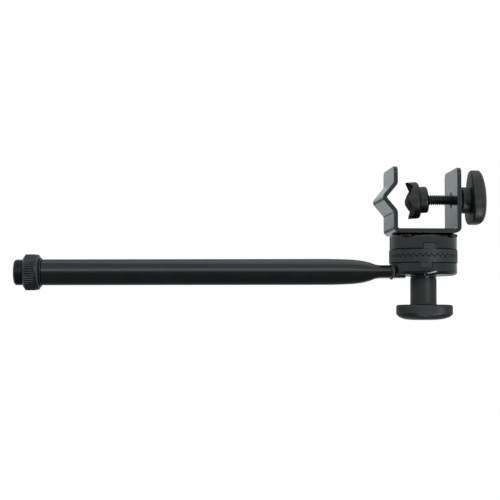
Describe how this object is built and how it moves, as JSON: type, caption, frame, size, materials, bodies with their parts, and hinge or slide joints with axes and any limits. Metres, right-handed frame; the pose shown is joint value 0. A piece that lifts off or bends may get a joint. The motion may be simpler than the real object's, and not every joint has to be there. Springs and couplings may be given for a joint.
{
  "type": "clamp-on microphone boom arm",
  "caption": "Short steel boom arm with a 5/8 in threaded stud and lock ring, a toothed swivel clutch and a bent-steel tube clamp with a screw and swivelling jaw.",
  "frame": {"origin": "centre of a 3/4 in (19.05 mm) tube seated in the bracket's V, half way along the bracket's width", "axes": "+Y along the clamped tube, +X along the clamp screw from the V towards its knob, +Z along the clutch axis from the clutch towards the open side of the bracket"},
  "size_m": [0.2856, 0.0584, 0.0914],
  "materials": {
    "gloss_black_paint": "gloss black stove enamel over pressed and welded steel",
    "black_plastic": "satin black moulded plastic",
    "clutch_nylon": "satin charcoal moulded nylon",
    "black_steel": "black oxide on turned steel",
    "zinc_steel": "bright zinc plate",
    "brass": "turned brass"
  },
  "bodies": {
    "clamp": {"clamp_bracket": "gloss_black_paint", "bracket_weld_1": "gloss_black_paint", "bracket_weld_2": "gloss_black_paint", "bracket_weld_3": "gloss_black_paint", "bracket_weld_4": "gloss_black_paint", "upper_cup": "gloss_black_paint", "upper_toothed_disc": "clutch_nylon", "clutch_bolt": "zinc_steel", "clutch_spring": "zinc_steel", "screw_nut": "black_steel"},
    "jaw_clip": {"jaw_retaining_ring": "black_steel"},
    "jaw": {"jaw_pad": "black_plastic"},
    "clamp_screw": {"clamp_screw": "black_steel", "clamp_knob": "black_plastic"},
    "clutch_release": {"thrust_washer": "black_steel"},
    "clutch_knob": {"clutch_knob": "black_plastic", "clutch_knob_insert": "brass"},
    "arm": {"boom_tube": "gloss_black_paint", "arm_weld_1": "gloss_black_paint", "arm_weld_2": "gloss_black_paint", "threaded_stud": "black_steel", "lower_cup": "gloss_black_paint", "lower_toothed_disc": "clutch_nylon"},
    "lock_ring": {"lock_ring": "black_steel"}
  },
  "joints": [
    {"name": "jaw_travel", "type": "slide", "parent": "clamp", "child": "jaw_clip", "axis": [1, 0, 0], "range_m": [0, 0.01271]},
    {"name": "clamp_screw_spin", "type": "hinge", "parent": "jaw_clip", "child": "clamp_screw", "pos_m": [0.01282, 0, 0], "axis": [1, 0, 0], "range_deg": [0, 3600]},
    {"name": "jaw_tilt", "type": "hinge", "parent": "jaw_clip", "child": "jaw", "pos_m": [0.01022, 0, 0], "axis": [0, 0.9371, 0.3489], "range_deg": [0, 8.6]},
    {"name": "clutch_release", "type": "slide", "parent": "clamp", "child": "clutch_release", "axis": [0, 0, -1], "range_m": [0, 0.00282], "deforming": ["clutch_spring"]},
    {"name": "clutch_knob_spin", "type": "hinge", "parent": "clutch_release", "child": "clutch_knob", "pos_m": [0.01282, 0, -0.056], "axis": [0, 0, -1], "range_deg": [0, 720]},
    {"name": "arm_swing", "type": "hinge", "parent": "clutch_release", "child": "arm", "pos_m": [0.01282, 0, -0.0435], "axis": [0, 0, 1], "continuous": true},
    {"name": "lock_ring_spin", "type": "hinge", "parent": "arm", "child": "lock_ring", "pos_m": [-0.22428, 0.02492, -0.0435], "axis": [-0.9945, 0.1045, 0], "continuous": true}
  ],
  "couplings": [
    {"joint": "jaw_travel", "follows": "clamp_screw_spin", "m_per_rad": 0.00020213},
    {"joint": "clutch_knob_spin", "follows": "clutch_release", "rad_per_m": 4452.7}
  ]
}
